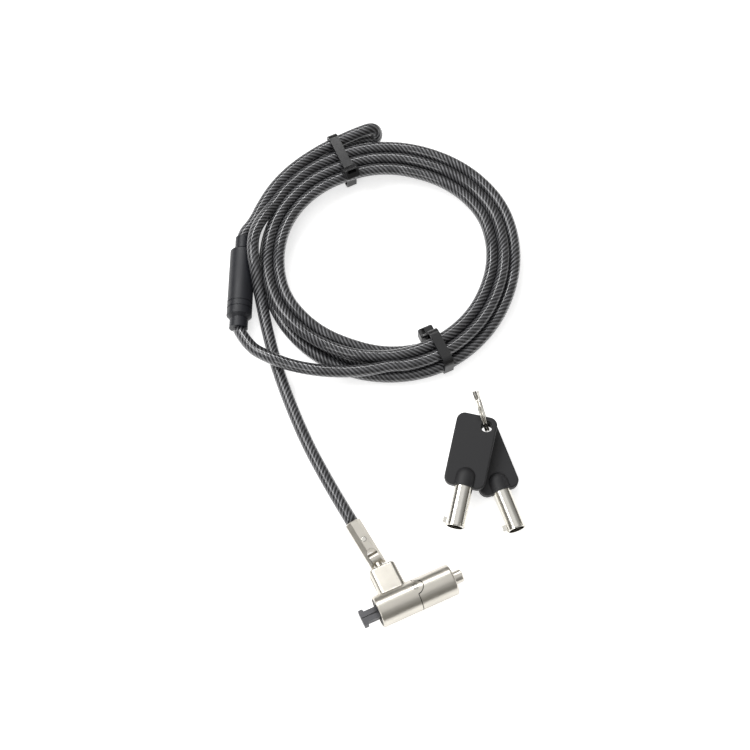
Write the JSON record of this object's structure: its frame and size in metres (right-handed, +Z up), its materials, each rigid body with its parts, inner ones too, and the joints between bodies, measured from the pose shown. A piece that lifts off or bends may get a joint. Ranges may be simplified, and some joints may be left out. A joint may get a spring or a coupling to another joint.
{
  "type": "laptop cable lock",
  "caption": "Keyed cable lock for laptops: slot-gripping lock head on a swivel, coiled plastic-covered steel cable with anchoring eye, tied, with tubular keys on a split ring.",
  "frame": {"origin": "centre of the lock head's flat nose face", "axes": "-X out of the nose face along the barrel, +Z up from the desk the set lies on, +Y from the lock head towards the coiled cable"},
  "size_m": [0.128, 0.2025, 0.018],
  "materials": {
    "satin_nickel": "satin",
    "bright_nickel": "polished",
    "dark_steel": "satin",
    "spring_steel": "satin",
    "brass": "satin",
    "face_pad": "matte",
    "cable_jacket": "gloss",
    "sleeve_plastic": "satin",
    "bow_plastic": "satin",
    "tie_nylon": "satin"
  },
  "bodies": {
    "anchored_cable": {"cable_coil": "cable_jacket", "cable_lead": "cable_jacket", "cable_tail": "cable_jacket", "cable_eye": "cable_jacket", "cable_end": "spring_steel", "cable_crimp": "spring_steel", "ferrule": "satin_nickel", "fork_pin": "bright_nickel", "ferrule_rivet": "bright_nickel", "joiner_sleeve": "sleeve_plastic", "tie_top_strap": "tie_nylon", "tie_top_head": "tie_nylon", "tie_bottom_strap": "tie_nylon", "tie_bottom_head": "tie_nylon"},
    "stud": {"swivel_stud": "satin_nickel"},
    "lock_head": {"front_housing": "satin_nickel", "rear_sleeve": "satin_nickel", "cross_pin": "bright_nickel", "front_pad": "face_pad", "nose_block": "dark_steel", "jaw_pins": "dark_steel", "cartridge": "brass", "return_spring": "spring_steel", "swivel_washer": "spring_steel"},
    "plunger": {"push_post": "satin_nickel", "wedge_rod": "dark_steel", "driver_shell": "brass", "driver_pins": "brass", "tumbler_springs": "spring_steel"},
    "rotor": {"key_rotor": "brass", "key_pins": "brass"},
    "latch": {"latch_pin": "spring_steel"},
    "jaw_upper": {"jaw_upper": "dark_steel"},
    "jaw_lower": {"jaw_lower": "dark_steel"},
    "ring": {"split_ring": "bright_nickel"},
    "key_a": {"key_a_bow": "bow_plastic", "key_a_tube": "bright_nickel"},
    "key_b": {"key_b_bow": "bow_plastic", "key_b_tube": "bright_nickel"}
  },
  "joints": [
    {"name": "fork_tilt", "type": "hinge", "parent": "anchored_cable", "child": "stud", "pos_m": [0.00799, 0.02026, -0.00315], "axis": [0.9944, 0.1058, 0], "range_deg": [-80, 98]},
    {"name": "head_swivel", "type": "hinge", "parent": "stud", "child": "lock_head", "pos_m": [0.00799, 0.02026, -0.00315], "axis": [-0.1045, 0.9827, -0.1528], "continuous": true},
    {"name": "button_push", "type": "slide", "parent": "lock_head", "child": "plunger", "axis": [-1, 0, 0], "range_m": [0, 0.0032], "stiffness_N_per_m": 300, "springref_m": -0.002},
    {"name": "upper_jaw_open", "type": "hinge", "parent": "lock_head", "child": "jaw_upper", "pos_m": [0.0039, 0.00148, -0.00023], "axis": [0, -0.1537, -0.9881], "range_deg": [0, 3.65]},
    {"name": "lower_jaw_open", "type": "hinge", "parent": "lock_head", "child": "jaw_lower", "pos_m": [0.0039, -0.00148, 0.00023], "axis": [0, 0.1537, 0.9881], "range_deg": [0, 3.65]},
    {"name": "latch_drop", "type": "slide", "parent": "plunger", "child": "latch", "axis": [0, -0.1537, -0.9881], "range_m": [0, 0.0005]},
    {"name": "key_turn", "type": "hinge", "parent": "plunger", "child": "rotor", "pos_m": [0.024, 0, 0], "axis": [1, 0, 0], "range_deg": [0, 60]},
    {"name": "ring_lift", "type": "slide", "parent": "anchored_cable", "child": "ring", "axis": [0, 0, 1], "range_m": [0, 0.08]},
    {"name": "key_a_swing", "type": "hinge", "parent": "ring", "child": "key_a", "pos_m": [0.069, 0.0483, 0.00546], "axis": [-0.0528, -0.0693, 0.9962], "range_deg": [-28, 0]},
    {"name": "key_b_swing", "type": "hinge", "parent": "ring", "child": "key_b", "pos_m": [0.07027, 0.04904, -0.00109], "axis": [-0.0026, -0.0313, 0.9995], "range_deg": [0, 50]}
  ],
  "couplings": [
    {"joint": "upper_jaw_open", "follows": "button_push", "rad_per_m": 19.63},
    {"joint": "lower_jaw_open", "follows": "button_push", "rad_per_m": 19.63},
    {"joint": "latch_drop", "follows": "button_push", "ratio": 0.15625}
  ]
}
